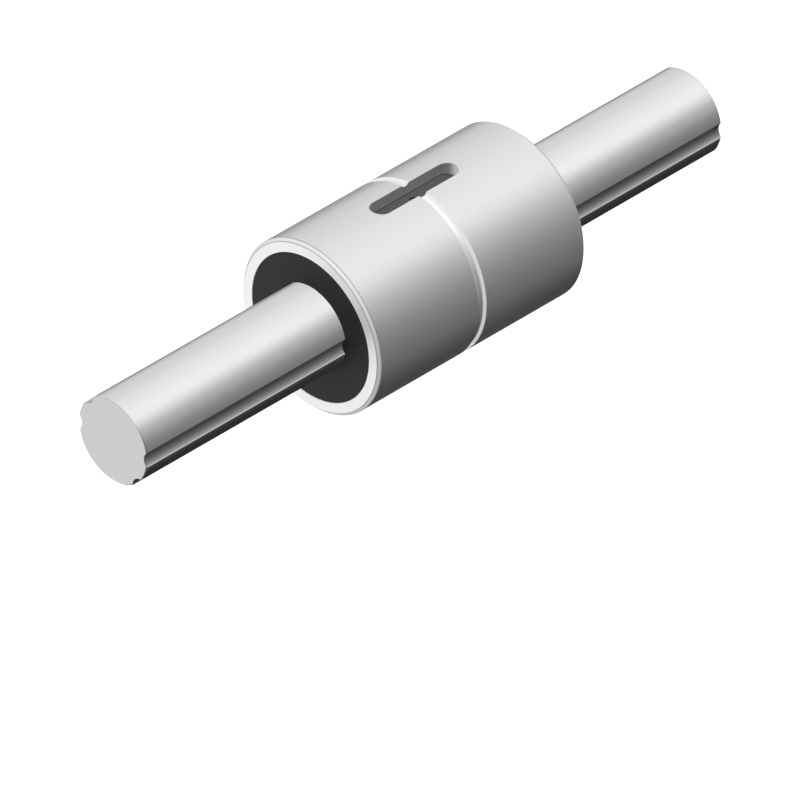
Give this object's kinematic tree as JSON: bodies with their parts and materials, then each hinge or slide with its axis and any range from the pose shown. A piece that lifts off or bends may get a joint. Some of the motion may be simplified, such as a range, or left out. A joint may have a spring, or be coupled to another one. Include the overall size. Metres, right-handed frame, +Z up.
{
  "type": "ball spline",
  "caption": "Ball spline: a hardened shaft with ground raceways slides without turning through a round keyed nut sealed at both ends.",
  "frame": {"origin": "middle of the nut's length, on the common centre line of nut and shaft", "axes": "+X along the shaft towards its short (far) end, +Z up through the middle of the nut's keyway, +Y to the left seen from the near end"},
  "size_m": [0.0834, 0.02, 0.02],
  "materials": {
    "shaft_steel": "ground and polished, hardened",
    "nut_steel": "fine ground, satin",
    "retainer_resin": "moulded resin",
    "ring_steel": "turned steel",
    "spring_steel": "blued spring steel",
    "seal_rubber": "moulded rubber, matt",
    "ball_steel": "polished bearing steel"
  },
  "bodies": {
    "nut": {"outer_cylinder": "nut_steel", "ball_retainer": "retainer_resin", "near_side_ring": "ring_steel", "far_side_ring": "ring_steel", "near_snap_ring": "spring_steel", "far_snap_ring": "spring_steel", "near_seal_core": "ring_steel", "far_seal_core": "ring_steel", "near_seal": "seal_rubber", "far_seal": "seal_rubber", "circuit_1_loaded_balls": "ball_steel", "circuit_1_return_balls": "ball_steel", "circuit_1_near_turn_balls": "ball_steel", "circuit_1_far_turn_balls": "ball_steel", "circuit_2_loaded_balls": "ball_steel", "circuit_2_return_balls": "ball_steel", "circuit_2_near_turn_balls": "ball_steel", "circuit_2_far_turn_balls": "ball_steel", "circuit_3_loaded_balls": "ball_steel", "circuit_3_return_balls": "ball_steel", "circuit_3_near_turn_balls": "ball_steel", "circuit_3_far_turn_balls": "ball_steel", "circuit_4_loaded_balls": "ball_steel", "circuit_4_return_balls": "ball_steel", "circuit_4_near_turn_balls": "ball_steel", "circuit_4_far_turn_balls": "ball_steel"},
    "shaft": {"spline_shaft": "shaft_steel"}
  },
  "joints": [
    {"name": "shaft_slide", "type": "slide", "parent": "nut", "child": "shaft", "axis": [1, 0, 0], "range_m": [-0.024, 0.0274]}
  ]
}
